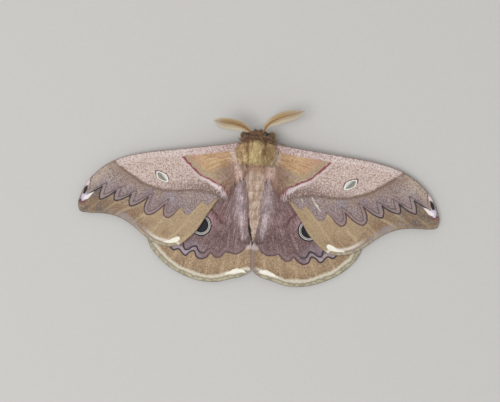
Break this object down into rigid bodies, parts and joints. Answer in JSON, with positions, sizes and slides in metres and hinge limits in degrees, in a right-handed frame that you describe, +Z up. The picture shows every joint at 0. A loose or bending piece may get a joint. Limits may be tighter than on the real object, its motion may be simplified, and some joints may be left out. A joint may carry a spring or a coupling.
{
  "type": "giant silk moth",
  "caption": "Life-size still model of a giant silk moth with patterned wings spread flat, feathered feelers and a furry body, resting on its legs.",
  "frame": {"origin": "on the floor under the middle of the outline seen from above, with the feet's soles at z = 0", "axes": "+X towards the moth's right wing tip, +Y towards its head, +Z up"},
  "size_m": [0.1276, 0.0615, 0.0124],
  "materials": {
    "thorax_fur": "dense olive-tan fur",
    "abdomen_fur": "short tan and pinkish fur",
    "head_fur": "dense brown fur",
    "eye": "glossy, nearly black",
    "feeler": "golden brown, satin",
    "fore_scales": "matt scales, tan, mauve and brown",
    "hind_scales": "matt scales, mauve, ochre and cream",
    "leg_fur": "short tan fur"
  },
  "bodies": {
    "root": {"head": "head_fur", "eye_left": "eye", "eye_right": "eye", "antenna_left": "feeler", "antenna_right": "feeler", "thorax": "thorax_fur", "abdomen": "abdomen_fur", "forewing_left": "fore_scales", "forewing_right": "fore_scales", "hindwing_left": "hind_scales", "hindwing_right": "hind_scales", "leg_fore_left": "leg_fur", "leg_fore_right": "leg_fur", "leg_mid_left": "leg_fur", "leg_mid_right": "leg_fur", "leg_hind_left": "leg_fur", "leg_hind_right": "leg_fur"}
  },
  "joints": []
}
